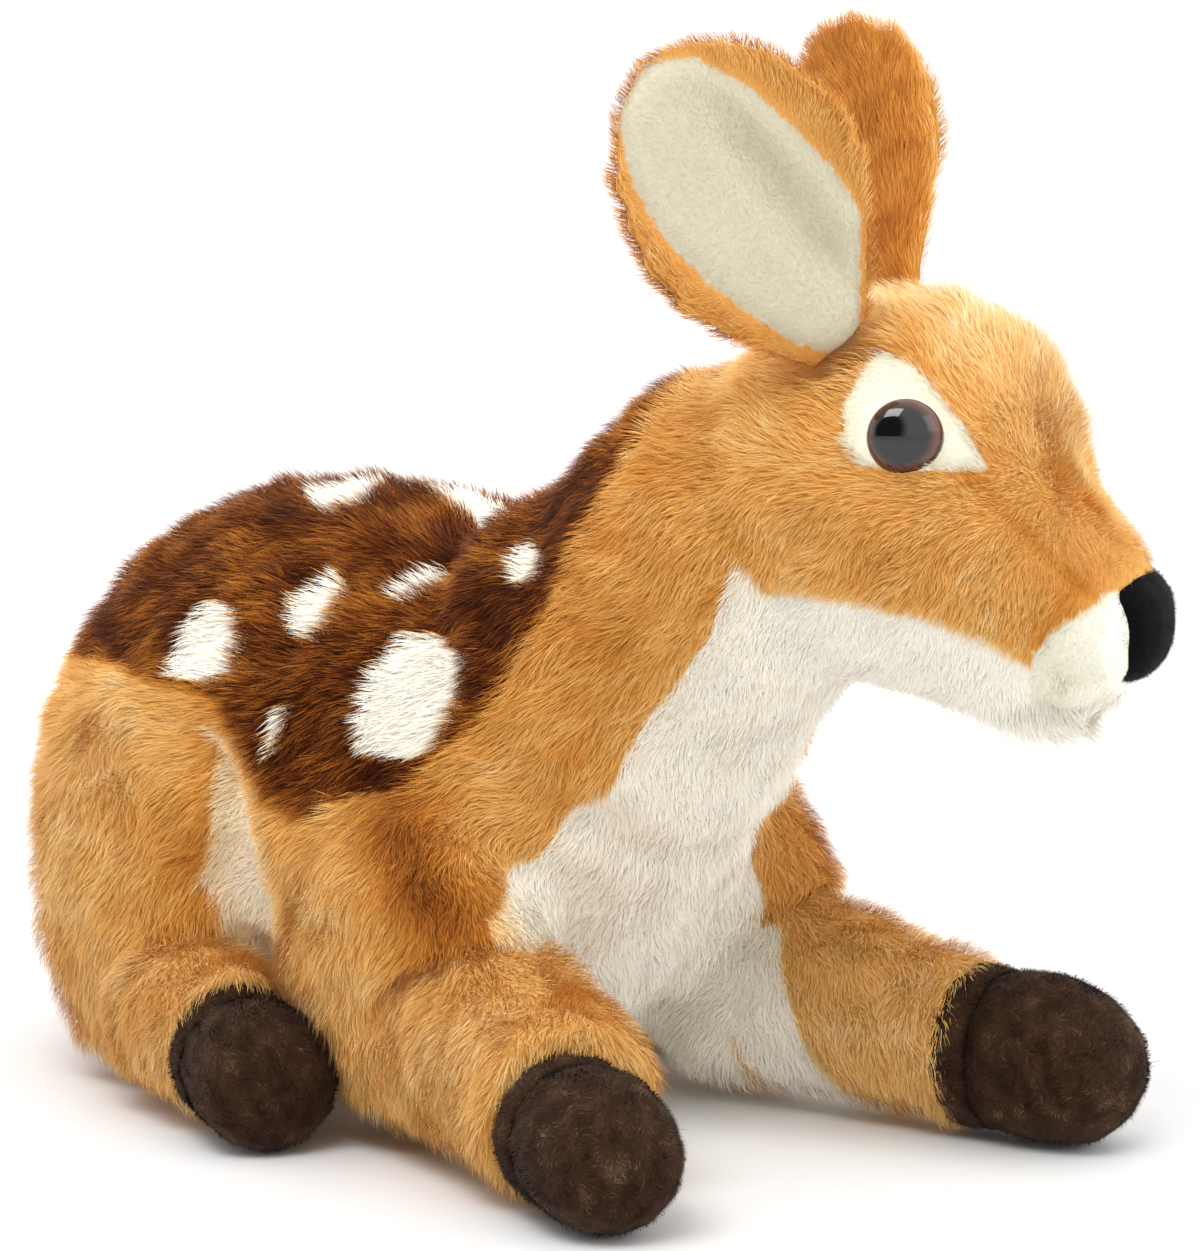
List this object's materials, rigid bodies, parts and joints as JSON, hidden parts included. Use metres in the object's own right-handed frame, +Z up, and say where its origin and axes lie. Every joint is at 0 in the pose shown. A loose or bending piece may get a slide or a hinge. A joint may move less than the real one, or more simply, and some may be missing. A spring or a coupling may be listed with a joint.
{
  "type": "plush fawn toy",
  "caption": "Soft stuffed fawn lying down with folded legs and its head turned to its left, in tan long-pile plush with a spotted brown saddle, pale bib and dark felt hooves.",
  "frame": {"origin": "on the flat underside of the belly, in the fawn's middle plane", "axes": "+X forwards from rump to chest, +Y to the fawn's left, +Z up from the floor"},
  "size_m": [0.2873, 0.1638, 0.2294],
  "materials": {
    "plush_tan": "long-pile plush, tan with lighter tips",
    "plush_brown": "long-pile plush, dark brown with pale spots",
    "plush_white": "long-pile plush, off-white",
    "velour_cream": "short-pile velour, cream",
    "felt_brown": "short felted pile, dark brown",
    "nose_black": "short-pile velour, black",
    "eye_gloss": "moulded gloss plastic, dark brown iris round a black pupil",
    "washer_plastic": "moulded lock washer",
    "filling": "loose polyester fibre"
  },
  "bodies": {
    "torso": {"torso": "plush_tan", "torso_filling": "filling", "saddle_panel": "plush_brown", "chest_panel": "plush_white", "belly_panel": "plush_white", "thigh_right": "plush_tan", "thigh_left": "plush_tan", "upper_arm_right": "plush_tan", "upper_arm_left": "plush_tan"},
    "neck": {"neck": "plush_tan", "throat_panel": "plush_white", "nape_panel": "plush_brown"},
    "head": {"head": "plush_tan", "head_filling": "filling", "jaw_panel": "plush_white", "muzzle_patch_right": "velour_cream", "muzzle_patch_left": "velour_cream", "nose": "nose_black", "eye_patch_right": "velour_cream", "eye_patch_left": "velour_cream", "eye_right": "eye_gloss", "eye_left": "eye_gloss", "eye_washer_right": "washer_plastic", "eye_washer_left": "washer_plastic"},
    "ear_right": {"ear_back_right": "plush_tan", "ear_lining_right": "velour_cream"},
    "ear_left": {"ear_back_left": "plush_tan", "ear_lining_left": "velour_cream"},
    "foreleg_right": {"forearm_right": "plush_tan", "forearm_lining_right": "plush_white", "fore_hoof_cuff_right": "felt_brown", "fore_hoof_cap_right": "felt_brown"},
    "foreleg_left": {"forearm_left": "plush_tan", "forearm_lining_left": "plush_white", "fore_hoof_cuff_left": "felt_brown", "fore_hoof_cap_left": "felt_brown"},
    "hind_leg_right": {"hind_shank_right": "plush_tan", "hind_hoof_cuff_right": "felt_brown", "hind_hoof_cap_right": "felt_brown"},
    "hind_leg_left": {"hind_shank_left": "plush_tan", "hind_hoof_cuff_left": "felt_brown", "hind_hoof_cap_left": "felt_brown"},
    "tail": {"tail_top": "plush_tan", "tail_underside": "plush_white"}
  },
  "joints": [
    {"name": "neck_nod", "type": "hinge", "parent": "torso", "child": "neck", "pos_m": [0.09745, 0, 0.09666], "axis": [0, 1, 0], "range_deg": [-8, 8], "stiffness_Nm_per_rad": 2},
    {"name": "head_turn", "type": "hinge", "parent": "neck", "child": "head", "pos_m": [0.12675, 0, 0.12534], "axis": [0.7147, 0, 0.6995], "range_deg": [-18, 18], "stiffness_Nm_per_rad": 1.2},
    {"name": "ear_right_fold", "type": "hinge", "parent": "head", "child": "ear_right", "pos_m": [0.15932, -0.00909, 0.16841], "axis": [0.3699, 0.6958, 0.6157], "range_deg": [-18, 18], "stiffness_Nm_per_rad": 0.12},
    {"name": "ear_left_fold", "type": "hinge", "parent": "head", "child": "ear_left", "pos_m": [0.14072, 0.03079, 0.16843], "axis": [-0.7708, 0.1638, -0.6157], "range_deg": [-18, 18], "stiffness_Nm_per_rad": 0.12},
    {"name": "foreleg_right_swing", "type": "hinge", "parent": "torso", "child": "foreleg_right", "pos_m": [0.079, -0.037, 0.0225], "axis": [-0.287, -0.7103, -0.6428], "range_deg": [0, 16], "stiffness_Nm_per_rad": 0.8},
    {"name": "foreleg_left_swing", "type": "hinge", "parent": "torso", "child": "foreleg_left", "pos_m": [0.094, 0.0395, 0.0225], "axis": [0.1066, -0.7586, 0.6428], "range_deg": [0, 16], "stiffness_Nm_per_rad": 0.8},
    {"name": "hind_leg_right_swing", "type": "hinge", "parent": "torso", "child": "hind_leg_right", "pos_m": [0.0155, -0.048, 0.0205], "axis": [-0.1954, -0.4603, -0.866], "range_deg": [0, 15], "stiffness_Nm_per_rad": 0.5},
    {"name": "hind_leg_left_swing", "type": "hinge", "parent": "torso", "child": "hind_leg_left", "pos_m": [0.0155, 0.048, 0.0205], "axis": [0.1954, -0.4603, 0.866], "range_deg": [0, 15], "stiffness_Nm_per_rad": 0.5},
    {"name": "tail_lift", "type": "hinge", "parent": "torso", "child": "tail", "pos_m": [-0.05938, 0, 0.07296], "axis": [0, 1, 0], "range_deg": [0, 20], "stiffness_Nm_per_rad": 0.05}
  ]
}
